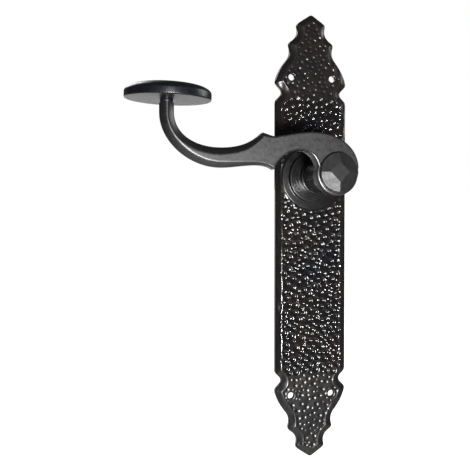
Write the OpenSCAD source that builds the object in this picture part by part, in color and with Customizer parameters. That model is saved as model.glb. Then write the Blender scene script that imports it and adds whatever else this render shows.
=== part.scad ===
// Lever handle on a long hammered backplate, in millimetres.
// +Z runs up the plate, the front faces -Y, and the lever points to -X.
// The origin is on the spindle's axis, in the plane of the door's face.
// A "height" is a distance in front of the door's face, along -Y.

/* [Backplate] */
// Length of the plate from tip to tip
plate_length = 300; // [296:1:310]
// Width of the plate's straight middle
plate_width = 50; // [49:0.5:54]
// Thickness of the casting
plate_thickness = 5.2; // [5:0.1:5.4]
// How far the spindle sits above the plate's middle
spindle_above_middle = 40; // [30:1:45]
// Distance between the two screw holes of a row
screw_spacing_across = 28.8; // [24:0.2:30]
// Distance between the upper and the lower row of screw holes
screw_spacing_along = 214; // [210:1:220]
// Diameter of a screw hole
screw_hole_diameter = 4.4; // [3.5:0.1:5]

/* [Rosette] */
// Radius of the flange that lies on the plate
flange_radius = 21.4; // [21.3:0.1:22]
// Height of the flange's front face
flange_height = 6.4; // [6.2:0.1:7]
// Radius of the raised step
step_radius = 16.8; // [16.2:0.1:18]
// Height of the raised step
step_height = 9.2; // [9:0.1:9.6]
// Radius of the guide collar
collar_radius = 11.8; // [11.4:0.1:12.2]
// Height of the guide collar's front face
collar_height = 18.2; // [17.6:0.1:19]

/* [Lever] */
// Height of the flat front face of the arm
arm_front = 50; // [46:0.5:54]
// Thickness of the arm
arm_thickness = 8.5; // [8:0.1:9]
// Radius of the boss around the spindle's end
boss_radius = 13.5; // [13.3:0.1:14]
// Smallest radius of the neck
neck_radius = 9.6; // [9.2:0.1:10.4]
// Radius of the faceted head
head_radius = 12.1; // [11.5:0.1:12.5]
// How far the head's middle sits above the spindle's axis
head_lift = 0.7; // [0:0.1:0.9]
// How far the head stands in front of the arm
head_rise = 4.6; // [4:0.1:6]
// How much of that rise the four facets take
facet_rise = 2; // [1.5:0.1:2.5]
// Slope of the facets, in degrees
facet_slope = 14.5; // [12:0.5:18]
// How far the lever turns down, in degrees
lever_travel = 40; // [30:1:45]

/* [Disc] */
// Diameter of the thumb disc
disc_diameter = 50.8; // [44:0.2:54]
// Thickness of the disc in its middle
disc_thickness = 8.9; // [8:0.1:11]
// Height of the disc's straight rim
disc_rim = 3.6; // [2:0.1:4.5]
// Lean of the disc towards the user, in degrees
disc_lean = 2; // [0:0.5:4]
// Tilt of the disc down towards the plate, in degrees
disc_tilt = 1.6; // [0:0.2:3]
// How far the disc's middle sits from its stud, towards the plate
disc_offset = 0.7; // [0:0.1:1]

/* [Spindle] */
// Side of the square spindle
spindle_side = 8; // [7.8:0.1:8.1]
// How far the spindle reaches into the door
spindle_reach = 45; // [30:1:70]

/* [Hidden] */
$fn = 96;

// running clearance on a radius, and the air between faces that pass each other
fit = 0.05;
air = 0.1;
// how far a cutter runs past the face it opens
over = 1;

// the spring chamber behind the rosette's front wall, as heights and radii
cover_back = 0.3;
cover_thickness = 1;
cover_radius = 17.3;
cover_hole_radius = 6.2;
chamber_back = cover_back + cover_thickness;
chamber_front = 8.2;
chamber_radius = 13.95;
spigot_radius = 17.5;
beads_front = 14;
collar_seat_radius = 10.2;
recess_radius = 21.3;
recess_depth = 2.6;
screw_relief_radius = 4.5;

// the lever's tail, which turns in the bush and ends inside the chamber
tail_radius = 8;
tail_back = 4.2;
bush_wall = 1.2;
bush_flange = 0.8;
groove_radius = 7.35;
ring_back = 5;
ring_thickness = 1;
neck_back = collar_height + bush_flange + 0.15;
arm_back = arm_front - arm_thickness;
socket_side = spindle_side + 0.1;
socket_front = arm_back + 3;
cap_spigot_radius = 4;
cap_seat = socket_front + 1;

// the neck's waist, and the radii of the hollows below and above it
waist = 33;
lower_hollow = 60;
upper_hollow = 26;

// the grub screw that locks the spindle, and its hexagon socket
grub_height = 30;
grub_radius = 2.5;
grub_length = 5;
hexagon_radius = 1.45;
hexagon_depth = 2;

// the driver on the spindle, and the spring that it winds
driver_back = 2;
driver_thickness = 2;
driver_hub_radius = 9.6;
arm_angle = 70;
arm_half_angle = 10;
spring_radius = 11.8;
wire_radius = 0.55;
spring_turns = 2.25;
spring_back = driver_back + driver_thickness + 0.75;
spring_front = chamber_front - 0.75;
pin_radius = 0.75;
pin_orbit = 13.15;
pin_seat = 2;
// angle from the driver's centre line to a stop pin that it comes to rest beside
pin_angle = arm_half_angle + asin(pin_radius / pin_orbit) + 1.5;
pin_angles = [arm_angle - pin_angle, arm_angle + lever_travel + pin_angle];

// the cover's three screws, the rosette's two dowels and its locknut's four slots
cover_screw_orbit = 15.5;
cover_screw_radius = 0.95;
cover_screw_head = 1.7;
cover_screw_sink = 0.75;
cover_screw_length = 4.6;
cover_screw_angles = [30, 150, 270];
dowel_radius = 1;
dowel_orbit = 19.4;
dowel_angles = [0, 180];
dowel_seat = 0.8;
locknut_slot = 3;

// washers and retaining ring on the tail
washer_radius = 10.2;
washer_thickness = 0.8;
spring_washer_thickness = 0.4;
spring_washer_rise = 0.6;
ring_radius = 9.6;
ring_gap = 4.8;
ring_eye = [3, 8.7];
ring_eye_radius = 1.4;
ring_eye_hole = 0.6;

// the end of the lever's hook, where the disc's stud stands
tip = [-105.15, arm_front - arm_thickness / 2, 39.8];
tip_radius = 4.35;
tip_length = 7;
stud_radius = 2.5;
stud_end_radius = 3;
stud_neck_radius = 3.8;
stud_neck = 1.5;
stud_into_disc = 4.8;
stud_into_lever = 8;

// A cubic Bezier curve from a to d, without its first point.
function curve(a, b, c, d, n = 10) =
    [for (i = [1:n]) let (t = i / n, s = 1 - t)
        s * s * s * a + 3 * s * s * t * b + 3 * s * t * t * c + t * t * t * d];

// Turns a drawing so that its X and Y become X and Z, and its Z becomes height.
module facing() rotate([90, 0, 0]) children();

// A turned ring or disc about the spindle's axis, between two heights.
module ring(r_in, r_out, back, front) facing() translate([0, 0, back]) difference() {
    cylinder(r = r_out, h = front - back);
    if (r_in > 0)
        translate([0, 0, -over]) cylinder(r = r_in, h = front - back + 2 * over);
}

// A round bar or hole along the height, at a radius and an angle about the spindle.
module peg(r, orbit, angle, back, front) facing() rotate([0, 0, angle])
    translate([orbit, 0, back]) cylinder(r = r, h = front - back);

module square_bar(side, back, front) facing() translate([-side / 2, -side / 2, back])
    cube([side, side, front - back]);

// ---- the plate's outline: one quarter, from the top tip to the middle of the right edge ----

half = plate_width / 2;
crown = plate_length / 2;
notch_centre = [half - 1.8, crown - 53];
notch_radius = 2.7;
notch_flank = 4.8;

function quarter() = concat(
    [[0, crown]],
    [[9.7, crown - 6.5]],
    curve([9.7, crown - 6.5], [10.3, crown - 7], [10.2, crown - 8], [9.7, crown - 9.2], 4),
    curve([9.7, crown - 9.2], [8.9, crown - 12], [9.2, crown - 15.6], [14.9, crown - 18.9], 10),
    curve([14.9, crown - 18.9], [15.8, crown - 19.4], [16, crown - 20.1], [15.8, crown - 20.9], 4),
    curve([15.8, crown - 20.9], [14.8, crown - 23.6], [14.2, crown - 27], [16.5, crown - 30.3], 10),
    curve([16.5, crown - 30.3], [19.6, crown - 34], [half - 1.5, crown - 39.2],
          [half, crown - 45.8], 12),
    [[half + 0.1, crown - 46.6]],
    [[half, notch_centre[1]]]);

function reversed(p) = [for (i = [len(p) - 1:-1:0]) p[i]];

// The notch in the plate's right edge: a square V with a round end.
notch_outline = concat(
    [for (a = [135:9:225]) notch_centre + notch_radius * [cos(a), sin(a)]],
    [for (s = [-1, 1]) notch_centre + [notch_flank, s * (notch_flank + notch_radius * sqrt(2))]]);

module plate_outline() difference() {
    right = concat(quarter(), [for (p = reversed(quarter())) [p[0], -p[1]]]);
    polygon(concat(right, [for (p = reversed(right)) if (p[0] > 0) [-p[0], p[1]]]));
    for (x = [-1, 1], y = [-1, 1]) polygon([for (p = notch_outline) [x * p[0], y * p[1]]]);
}

module backplate() color([0.035, 0.035, 0.04]) difference() {
    facing() difference() {
        translate([0, -spindle_above_middle]) linear_extrude(plate_thickness) plate_outline();
        translate([0, 0, -over]) cylinder(r = recess_radius, h = recess_depth + over);
        cylinder(r = spigot_radius + fit, h = plate_thickness + over);
        // each screw hole, and the casting's relief behind it
        for (x = [-1, 1], y = [-1, 1])
            translate([x * screw_spacing_across / 2,
                       y * screw_spacing_along / 2 - spindle_above_middle, -over]) {
                cylinder(d = screw_hole_diameter, h = plate_thickness + 2 * over);
                cylinder(r = screw_relief_radius, h = recess_depth + over);
            }
    }
    for (a = dowel_angles)
        peg(dowel_radius, dowel_orbit, a, recess_depth - over, plate_thickness + over);
}

// ---- the rosette and what it holds ----

// Front beads: each is a step down in radius and a step up in height.
beads = 4;
bead_rise = (beads_front - step_height) / beads;
bead_step = 0.8;
first_bead_radius = step_radius - 1.5;

module rosette() color([0.03, 0.03, 0.035]) difference() {
    union() {
        ring(0, spigot_radius, chamber_back, plate_thickness);
        ring(0, flange_radius, plate_thickness, flange_height);
        ring(0, step_radius, flange_height, step_height);
        for (i = [0:beads - 1])
            ring(0, first_bead_radius - bead_step * i, step_height + i * bead_rise,
                 step_height + (i + 1) * bead_rise);
    }
    ring(0, chamber_radius, chamber_back - over, chamber_front);
    ring(0, collar_seat_radius + fit, chamber_front - over, beads_front + over);
    for (a = cover_screw_angles)
        peg(cover_screw_radius + fit, cover_screw_orbit, a, chamber_back - over,
            cover_back + cover_screw_length + 0.3);
    for (a = pin_angles)
        peg(pin_radius + fit, pin_orbit, a, chamber_front - over, chamber_front + pin_seat + air);
    for (a = dowel_angles)
        peg(dowel_radius + fit, dowel_orbit, a, plate_thickness - over,
            plate_thickness + dowel_seat);
    // seat of the spring's fixed end
    peg(wire_radius + fit, spring_radius, arm_angle - 360 * spring_turns, chamber_front - over,
        tang_front + 0.2);
}

module guide_collar() color([0.04, 0.04, 0.045]) difference() {
    union() {
        ring(0, collar_seat_radius, chamber_front, beads_front);
        ring(0, collar_radius, beads_front, collar_height);
    }
    ring(0, tail_radius + bush_wall, chamber_front - over, collar_height + over);
}

module bearing_bush() color([0.72, 0.55, 0.25]) difference() {
    union() {
        ring(0, tail_radius + bush_wall - fit, chamber_front, collar_height);
        ring(0, collar_radius - 1.5 * bush_wall, collar_height, collar_height + bush_flange);
    }
    ring(0, tail_radius + fit, chamber_front - over, neck_back + over);
}

module rosette_locknut() color([0.6, 0.6, 0.6]) difference() {
    ring(spigot_radius + fit, recess_radius - 3 * air, chamber_back - 0.6, recess_depth - fit);
    for (i = [0:3]) facing() rotate([0, 0, 90 * i + 45])
        translate([recess_radius - locknut_slot / 2, -locknut_slot / 2, 0])
            cube([locknut_slot, locknut_slot, recess_depth + over]);
}

module rosette_dowels() color([0.6, 0.6, 0.6])
    for (a = dowel_angles)
        peg(dowel_radius, dowel_orbit, a, recess_depth + air, plate_thickness + dowel_seat - air);

module stop_pins() color([0.7, 0.7, 0.7])
    for (a = pin_angles)
        peg(pin_radius, pin_orbit, a, chamber_back + air, chamber_front + pin_seat);

// The torsion spring: a helix with a straight tang along the axis at each end.
spring_steps = 60;
tang_back = driver_back + 0.2;
tang_front = chamber_front + 1;
function turn(a, h) = [spring_radius * cos(a), spring_radius * sin(a), h];
spring_path = concat(
    [turn(arm_angle, tang_back)],
    [turn(arm_angle, spring_back - 0.5)],
    [for (i = [1:spring_steps - 1]) let (t = i / spring_steps)
        turn(arm_angle - 360 * spring_turns * t, spring_back + t * (spring_front - spring_back))],
    [turn(arm_angle - 360 * spring_turns, spring_front + 0.5)],
    [turn(arm_angle - 360 * spring_turns, tang_front)]);

function unit(v) = v / norm(v);

// A closed tube with n sides that follows a path of points; out is a direction
// that the path never runs along.
module tube(path, r, n = 8) {
    last = len(path) - 1;
    rings = [for (i = [0:last])
        let (ahead = unit(path[min(i + 1, last)] - path[max(i - 1, 0)]),
             out = unit([path[i][0], path[i][1], 0]),
             side = unit(cross(ahead, out)),
             up = cross(side, ahead))
        for (k = [0:n - 1])
            path[i] + r * (cos(360 * k / n) * up + sin(360 * k / n) * side)];
    faces = concat(
        [[for (k = [0:n - 1]) k]],
        [for (i = [0:last - 1], k = [0:n - 1])
            [i * n + k, (i + 1) * n + k, (i + 1) * n + (k + 1) % n, i * n + (k + 1) % n]],
        [[for (k = [n - 1:-1:0]) last * n + k]]);
    polyhedron(rings, faces);
}

module return_spring() color([0.75, 0.75, 0.78]) facing() tube(spring_path, wire_radius);

module at_cover_screws() for (a = cover_screw_angles)
    facing() rotate([0, 0, a]) translate([cover_screw_orbit, 0, cover_back]) children();

module spring_cover() color([0.65, 0.65, 0.66]) difference() {
    ring(cover_hole_radius, cover_radius, cover_back, cover_back + cover_thickness);
    at_cover_screws() {
        translate([0, 0, -over]) cylinder(r = cover_screw_radius + fit, h = 3 * over);
        cylinder(r1 = cover_screw_head + fit, r2 = cover_screw_radius + fit, h = cover_screw_sink);
    }
}

module cover_screws() color([0.7, 0.7, 0.7]) at_cover_screws() difference() {
    slot = [2.4, 0.4];
    union() {
        cylinder(r1 = cover_screw_head, r2 = cover_screw_radius, h = cover_screw_sink);
        cylinder(r = cover_screw_radius, h = cover_screw_length);
    }
    translate([-slot[0] / 2, -slot[1] / 2, -over]) cube([slot[0], slot[1], over + slot[1]]);
}

// ---- the turning half ----

// The arm's outline, seen from the front: arch, grip and hook, then back along
// the underside, the lower point and the hollow of the arch.
function arm_outline() = concat(
    [[13.6, 0]],
    curve([13.6, 0], [15.8, 12], [6, 25.1], [-16, 25.1], 16),
    curve([-16, 25.1], [-23, 25.1], [-31.5, 22.9], [-39.5, 21.8], 8),
    curve([-39.5, 21.8], [-41.5, 21.6], [-43.6, 22.7], [-47.6, 23.9], 5),
    curve([-47.6, 23.9], [-54, 17.8], [-62, 14.4], [-74, 14.4], 10),
    curve([-74, 14.4], [-87.5, 14.4], [-100.3, 20.6], [-100.8, 34], 14),
    [[-109.5, 34]],
    curve([-109.5, 34], [-109.5, 16.4], [-91.5, 2.5], [-73.5, 2.5], 16),
    curve([-73.5, 2.5], [-62, 2.5], [-48.5, 7], [-40.3, 2], 10),
    curve([-40.3, 2], [-37.6, 10], [-29.8, 13.9], [-24.2, 13.9], 8),
    curve([-24.2, 13.9], [-16, 13.9], [-13.2, 8], [-12.5, 2.6], 8));

// Places its children at the hook's end, leaning towards the user, with +Z up.
module at_tip() translate([tip[0], -tip[1], tip[2]]) rotate([disc_lean, disc_tilt, 0])
    children();

// Places its children on the head's axis, which lies a little above the spindle's.
module at_head() translate([0, 0, head_lift]) children();

// Half section of the neck: a cylinder with a long hollow below the waist and a
// short flare above it.
module neck_section() difference() {
    translate([0, neck_back]) square([boss_radius, arm_back + over - neck_back]);
    intersection() {
        translate([neck_radius + lower_hollow, waist]) circle(r = lower_hollow, $fn = 180);
        square([boss_radius + over, waist]);
    }
    intersection() {
        translate([neck_radius + upper_hollow, waist]) circle(r = upper_hollow, $fn = 180);
        translate([0, waist]) square([boss_radius + over, upper_hollow]);
    }
}

module lever() color([0.05, 0.05, 0.06]) difference() {
    union() {
        facing() rotate_extrude() neck_section();
        ring(0, tail_radius, tail_back, neck_back + over);
        ring(0, boss_radius, arm_back, arm_front);
        facing() translate([0, 0, arm_back]) linear_extrude(arm_thickness) polygon(arm_outline());
        at_tip() translate([0, 0, -tip_length]) cylinder(r = tip_radius, h = tip_length);
    }
    difference() {
        ring(0, tail_radius + over, ring_back - fit, ring_back + ring_thickness + fit);
        ring(0, groove_radius, ring_back - over, ring_back + ring_thickness + over);
    }
    square_bar(socket_side, tail_back - over, socket_front);
    at_head() ring(0, cap_spigot_radius + fit, cap_seat, arm_front + over);
    facing() translate([0, 0, grub_height]) rotate([90, 0, 0])
        cylinder(r = grub_radius + fit, h = boss_radius + over);
    at_tip() translate([0, 0, -stud_into_lever - 0.5])
        cylinder(r = stud_radius + fit, h = stud_into_lever + over + 0.5);
}

// The head: a round rim with a low square pyramid cut off at its top, on a spigot.
// The pyramid's corners point left, right, up and down.
module head_cap() color([0.06, 0.06, 0.065]) at_head() {
    facing() translate([0, 0, arm_front]) intersection() {
        cylinder(r = head_radius, h = head_rise);
        // everything that lies under the four sloping facets
        intersection_for(i = [0:3]) rotate([0, 0, 45 + 90 * i])
            translate([head_radius, 0, head_rise - facet_rise]) rotate([0, facet_slope, 0])
                translate([0, 0, -2 * head_radius]) cube(4 * head_radius, center = true);
    }
    ring(0, cap_spigot_radius, cap_seat + 0.3, arm_front + 0.5);
}

module spindle() color([0.62, 0.62, 0.64])
    square_bar(spindle_side, -spindle_reach, socket_front - 0.5);

module grub_screw() color([0.2, 0.2, 0.2]) facing()
    translate([0, -spindle_side / 2 - fit, grub_height]) rotate([90, 0, 0]) difference() {
        cylinder(r = grub_radius, h = grub_length);
        translate([0, 0, grub_length - hexagon_depth])
            cylinder(r = hexagon_radius, h = hexagon_depth + over, $fn = 6);
    }

module spring_driver() color([0.6, 0.6, 0.62]) difference() {
    union() {
        ring(0, driver_hub_radius, driver_back, driver_back + driver_thickness);
        intersection() {
            ring(0, chamber_radius - 3 * fit, driver_back, driver_back + driver_thickness);
            facing() rotate([0, 0, arm_angle]) linear_extrude(2 * chamber_front)
                polygon([[0, 0], for (s = [-1, 1])
                    2 * chamber_radius * [cos(arm_half_angle), s * sin(arm_half_angle)]]);
        }
    }
    square_bar(socket_side, driver_back - over, driver_back + driver_thickness + over);
    peg(wire_radius + 0.1, spring_radius, arm_angle, driver_back - over, spring_back);
}

module thrust_washer() color([0.85, 0.85, 0.8])
    ring(tail_radius + air, washer_radius, chamber_front - air - washer_thickness,
         chamber_front - air);

// A conical spring washer, which takes up the lever's end play.
module spring_washer() color([0.7, 0.7, 0.72]) {
    inner = [tail_radius + air, ring_back + ring_thickness + air];
    outer = [washer_radius - air, inner[1] + spring_washer_rise];
    up = [0, spring_washer_thickness];
    facing() rotate_extrude() polygon([inner, outer, outer + up, inner + up]);
}

// The open retaining ring in the tail's groove, with an eye on each side of the gap.
module retaining_ring() color([0.3, 0.3, 0.32]) facing() translate([0, 0, ring_back])
    linear_extrude(ring_thickness) difference() {
        union() {
            difference() {
                circle(r = ring_radius);
                circle(r = groove_radius + fit);
                translate([-ring_gap / 2, -ring_radius - over])
                    square([ring_gap, ring_radius + over]);
            }
            for (s = [-1, 1]) translate([s * ring_eye[0], -ring_eye[1]])
                circle(r = ring_eye_radius, $fn = 24);
        }
        for (s = [-1, 1]) translate([s * ring_eye[0], -ring_eye[1]])
            circle(r = ring_eye_hole, $fn = 24);
    }

// Half section of the disc: flat below, a straight rim, and a flat-topped crown whose
// shoulder is a superellipse.
crown_power = 3.8;
crown_steps = 20;
function disc_section(r) = concat(
    [[0, 0], [r, 0]],
    [for (i = [0:crown_steps - 1]) let (a = 90 * i / crown_steps)
        [r * pow(cos(a), 2 / crown_power), disc_rim + (disc_thickness - disc_rim) * sin(a)]],
    [[0, disc_thickness]]);

module thumb_disc() color([0.03, 0.03, 0.035]) at_tip() translate([0, 0, stud_neck])
    difference() {
        translate([disc_offset, 0, 0]) rotate_extrude($fn = 180)
            polygon(disc_section(disc_diameter / 2));
        translate([0, 0, -over]) cylinder(r = stud_end_radius + fit, h = over + stud_into_disc);
    }

module disc_stud() color([0.08, 0.08, 0.085]) at_tip() {
    translate([0, 0, -stud_into_lever]) cylinder(r = stud_radius, h = stud_into_lever);
    cylinder(r = stud_neck_radius, h = stud_neck);
    translate([0, 0, stud_neck]) cylinder(r = stud_end_radius, h = stud_into_disc - 0.3);
}

backplate();
rosette();
guide_collar();
bearing_bush();
rosette_locknut();
rosette_dowels();
stop_pins();
return_spring();
spring_cover();
cover_screws();
lever();
head_cap();
spindle();
grub_screw();
spring_driver();
thrust_washer();
spring_washer();
retaining_ring();
thumb_disc();
disc_stud();
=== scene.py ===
import math
import random

import bmesh
import bpy
import numpy as np
from mathutils import Matrix, Vector
from mathutils.geometry import delaunay_2d_cdt
from mathutils.kdtree import KDTree


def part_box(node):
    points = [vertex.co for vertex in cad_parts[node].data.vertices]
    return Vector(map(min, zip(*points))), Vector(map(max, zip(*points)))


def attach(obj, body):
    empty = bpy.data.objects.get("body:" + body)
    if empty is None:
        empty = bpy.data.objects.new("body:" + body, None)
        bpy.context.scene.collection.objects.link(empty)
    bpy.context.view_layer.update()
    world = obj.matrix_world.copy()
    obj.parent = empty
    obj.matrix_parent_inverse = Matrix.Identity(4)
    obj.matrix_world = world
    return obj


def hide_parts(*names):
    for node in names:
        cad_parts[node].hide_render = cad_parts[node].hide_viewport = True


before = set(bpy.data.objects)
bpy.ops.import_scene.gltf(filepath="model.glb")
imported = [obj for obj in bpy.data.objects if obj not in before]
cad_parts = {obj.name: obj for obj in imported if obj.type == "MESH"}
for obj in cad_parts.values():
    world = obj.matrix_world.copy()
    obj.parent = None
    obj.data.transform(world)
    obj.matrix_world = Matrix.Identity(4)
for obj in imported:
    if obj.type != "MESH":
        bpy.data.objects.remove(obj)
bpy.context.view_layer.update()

# Shapes are worked out in millimetres and become metres when a mesh is made.
# A "height" is a distance in front of the door's face, along -Y, and flat drawings
# are in (x, z), as seen from the front. The spindle's axis is at (0, 0).
MM = 0.001

PLATE_BODY, LEVER_BODY = "plate_assembly", "lever_assembly"


def extent(node):
    """A CAD node's box in millimetres: its half width, and its lowest and highest height."""
    low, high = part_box(node)
    return (high.x - low.x) / 2 / MM, -high.y / MM, -low.y / MM


# ---- camera, stage and light ----

CAMERA_PLACE = Vector((-168.7, -450.2, -28.5)) * MM
CAMERA_AHEAD = Vector((0.2505, 0.9679, -0.0214))
CAMERA_UP = Vector((0.0047, 0.0209, 0.9998))
LENS, SENSOR = 53.6, 36.0
BACKDROP_Y = 1.25
FLOOR_Z = -0.8
FLOOR_SIZE, BACKDROP_SIZE = 60.0, 2.2
# Every lamp looks at this point, off the door and a little to the left of the plate.
LIT_POINT = Vector((-40, -30, -30)) * MM


def link(name, data):
    item = bpy.data.objects.new(name, data)
    bpy.context.scene.collection.objects.link(item)
    return item


def aim(item, place, ahead, up=Vector((0, 0, 1))):
    """Puts an object at a place so that its -Z axis looks along ahead."""
    right = ahead.cross(up).normalized()
    turned = Matrix((right, right.cross(ahead).normalized(), -ahead.normalized())).transposed()
    item.matrix_world = Matrix.Translation(place) @ turned.to_4x4()


def add_camera():
    """The camera stands in front, to the left of the spindle and a little below it."""
    data = bpy.data.cameras.new("camera")
    data.lens, data.sensor_width = LENS, SENSOR
    data.clip_start = 0.01
    camera = link("camera", data)
    aim(camera, CAMERA_PLACE, CAMERA_AHEAD, CAMERA_UP)
    bpy.context.scene.camera = camera


def add_lamp(name, towards, distance, size, power):
    """A round soft lamp that stands in one direction from the handle and looks at it."""
    data = bpy.data.lights.new(name, "AREA")
    data.shape, data.size, data.energy = "DISK", size, power
    towards = Vector(towards).normalized()
    aim(link(name, data), LIT_POINT + towards * distance, -towards)


def add_sheet(name, size, place, turn, finish):
    """One flat square sheet of the stage."""
    mesh = bpy.data.meshes.new(name)
    half = size / 2
    corners = [(-half, -half, 0), (half, -half, 0), (half, half, 0), (-half, half, 0)]
    mesh.from_pydata(corners, [], [(0, 1, 2, 3)])
    mesh.materials.append(finish)
    sheet = link(name, mesh)
    sheet.matrix_world = Matrix.Translation(place) @ Matrix.Rotation(turn, 4, "X")
    sheet.visible_diffuse = False


def stage_paper(name, seen, mirrored):
    """Pale matt paper that is lit a little from within, so that it stays even. It glows with
    one strength to the camera, and with another in the object's reflections."""
    finish = Finish(name, (0.86, 0.86, 0.85), 0.9)
    path = finish.node("ShaderNodeLightPath")
    glow = finish.node("ShaderNodeMapRange", Value=path.outputs["Is Camera Ray"])
    glow.inputs["To Min"].default_value = mirrored
    glow.inputs["To Max"].default_value = seen
    finish.wire(glow.outputs[0], "Emission Strength")
    finish.set("Emission Color", (1, 1, 1, 1))
    return finish.material


def add_world(seen, lighting):
    """Pale air: bright where the camera looks at it, and dim as a light on the object."""
    world = bpy.data.worlds.new("studio_air")
    bpy.context.scene.world = world
    world.use_nodes = True
    nodes, links = world.node_tree.nodes, world.node_tree.links
    nodes.clear()
    output, mix = nodes.new("ShaderNodeOutputWorld"), nodes.new("ShaderNodeMixShader")
    path = nodes.new("ShaderNodeLightPath")
    links.new(path.outputs["Is Camera Ray"], mix.inputs[0])
    for socket, strength in ((1, lighting), (2, seen)):
        air = nodes.new("ShaderNodeBackground")
        air.inputs["Color"].default_value = (1, 1, 1, 1)
        air.inputs["Strength"].default_value = strength
        links.new(air.outputs[0], mix.inputs[socket])
    links.new(mix.outputs[0], output.inputs[0])


# ---- finishes ----

class Finish:
    """A node material on one Principled shader, with patterns in object space."""

    def __init__(self, name, colour, roughness, metallic=0.0, ior=1.5):
        self.material = bpy.data.materials.new(name)
        self.material.use_nodes = True
        self.tree = self.material.node_tree
        self.shader = self.tree.nodes["Principled BSDF"]
        self.set("Base Color", (*colour, 1))
        self.set("Roughness", roughness)
        self.set("Metallic", metallic)
        self.set("IOR", ior)
        self.place = self.tree.nodes.new("ShaderNodeTexCoord").outputs["Object"]
        self.normal = None

    def set(self, socket, value):
        self.shader.inputs[socket].default_value = value

    def node(self, kind, settings=(), **wires):
        """A node with some settings, and its inputs wired or set by name or number."""
        made = self.tree.nodes.new(kind)
        for key, value in dict(settings).items():
            setattr(made, key, value)
        for key, value in wires.items():
            socket = made.inputs[int(key[1:])] if key[0] == "_" else made.inputs[key]
            if isinstance(value, bpy.types.NodeSocket):
                self.tree.links.new(value, socket)
            else:
                socket.default_value = value
        return made

    def noise(self, size, detail=3.0, stretch=(1, 1, 1)):
        """Noise whose blotches are about size millimetres across."""
        spread = self.node("ShaderNodeVectorMath", {"operation": "MULTIPLY"}, _0=self.place, _1=stretch)
        return self.node("ShaderNodeTexNoise", Vector=spread.outputs[0], Scale=1 / (size * MM),
                         Detail=detail).outputs[0]

    def between(self, factor, low, high):
        """factor from 0.3 to 0.7 becomes a number from low to high."""
        made = self.node("ShaderNodeMapRange", Value=factor)
        for key, value in zip(("From Min", "From Max", "To Min", "To Max"), (0.3, 0.7, low, high)):
            made.inputs[key].default_value = value
        return made.outputs[0]

    def attribute(self, name):
        return self.node("ShaderNodeAttribute", {"attribute_name": name}).outputs["Fac"]

    def mix(self, factor, first, second):
        """A colour between two colours, each a socket or three numbers."""
        made = self.node("ShaderNodeMix", {"data_type": "RGBA"})
        for key, value in ((0, factor), (6, first), (7, second)):
            if isinstance(value, bpy.types.NodeSocket):
                self.tree.links.new(value, made.inputs[key])
            else:
                made.inputs[key].default_value = (*value, 1) if key else value
        return made.outputs[2]

    def wire(self, source, socket):
        self.tree.links.new(source, self.shader.inputs[socket])

    def bump(self, height, depth):
        """Raises the surface by up to depth millimetres where height is 1."""
        made = self.node("ShaderNodeBump", Height=height, Strength=1.0, Distance=depth * MM)
        if self.normal is not None:
            self.tree.links.new(self.normal, made.inputs["Normal"])
        self.normal = made.outputs[0]
        self.wire(self.normal, "Normal")

    def turned_rings(self, pitch):
        """Fine rings about the spindle's axis: a wave of the distance from it."""
        flat = self.node("ShaderNodeVectorMath", {"operation": "MULTIPLY"}, _0=self.place,
                         _1=(1, 0, 1))
        far = self.node("ShaderNodeVectorMath", {"operation": "LENGTH"}, _0=flat.outputs[0])
        steps = self.node("ShaderNodeMath", {"operation": "MULTIPLY"}, _0=far.outputs["Value"],
                          _1=2 * math.pi / (pitch * MM))
        return self.node("ShaderNodeMath", {"operation": "SINE"}, _0=steps.outputs[0]).outputs[0]


def plate_paint():
    """Thick glossy black enamel: browned in patches, thin on the ridges, duller at the ends."""
    finish = Finish("plate_enamel", (0.010, 0.010, 0.011), 0.2)
    brown = finish.between(finish.noise(26, 2), 0.0, 1.0)
    body = finish.mix(brown, (0.0045, 0.0048, 0.006), (0.011, 0.0082, 0.0068))
    worn = finish.mix(finish.attribute("ridge"), body, (0.013, 0.0115, 0.011))
    finish.wire(worn, "Base Color")
    gloss = finish.between(finish.noise(5, 4), 0.11, 0.18)
    duller = finish.node("ShaderNodeMix", _0=finish.attribute("dull"), _2=gloss, _3=0.29)
    finish.wire(duller.outputs[0], "Roughness")
    finish.bump(finish.noise(1.1, 2), 0.012)
    return finish.material


def satin_paint(name, colour, roughness, grain=0.35, depth=0.012, ior=1.5):
    """Satin black paint with orange peel, faint brush marks and rubbed edges."""
    finish = Finish(name, colour, roughness, ior=ior)
    lighter = tuple(1.5 * c for c in colour)
    body = finish.mix(finish.between(finish.noise(7, 4), 0.0, 1.0), colour, lighter)
    rubbed = finish.mix(finish.attribute("edge"), body, tuple(2.4 * c for c in colour))
    finish.wire(rubbed, "Base Color")
    gloss = finish.between(finish.noise(2.2, 5), roughness - 0.06, roughness + 0.06)
    polished = finish.node("ShaderNodeMix", _0=finish.attribute("edge"), _2=gloss, _3=0.24)
    finish.wire(polished.outputs[0], "Roughness")
    finish.bump(finish.noise(grain, 2), depth)
    finish.bump(finish.noise(3.5, 2), 0.02)
    return finish.material


def rosette_paint():
    """Semi-gloss black over the marks of a turning tool."""
    finish = Finish("rosette_enamel", (0.006, 0.006, 0.0065), 0.3)
    finish.wire(finish.mix(finish.between(finish.noise(6, 3), 0, 1), (0.0045, 0.0045, 0.005),
                           (0.008, 0.0074, 0.007)), "Base Color")
    finish.wire(finish.between(finish.noise(4, 2), 0.21, 0.26), "Roughness")
    finish.bump(finish.turned_rings(1.5), 0.004)
    finish.bump(finish.noise(0.8, 2), 0.002)
    return finish.material


def metal(name, light, dark, roughness, grain, stretch=(1, 1, 1)):
    """Bare or plated metal: cloudy colour, uneven gloss and fine tool marks."""
    finish = Finish(name, light, roughness, metallic=1.0)
    finish.wire(finish.mix(finish.between(finish.noise(4, 5), 0, 1), light, dark), "Base Color")
    finish.wire(finish.between(finish.noise(1.2, 4, stretch), roughness - 0.08, roughness + 0.1),
                "Roughness")
    finish.bump(finish.noise(grain, 2, stretch), 0.01)
    return finish.material


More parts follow.
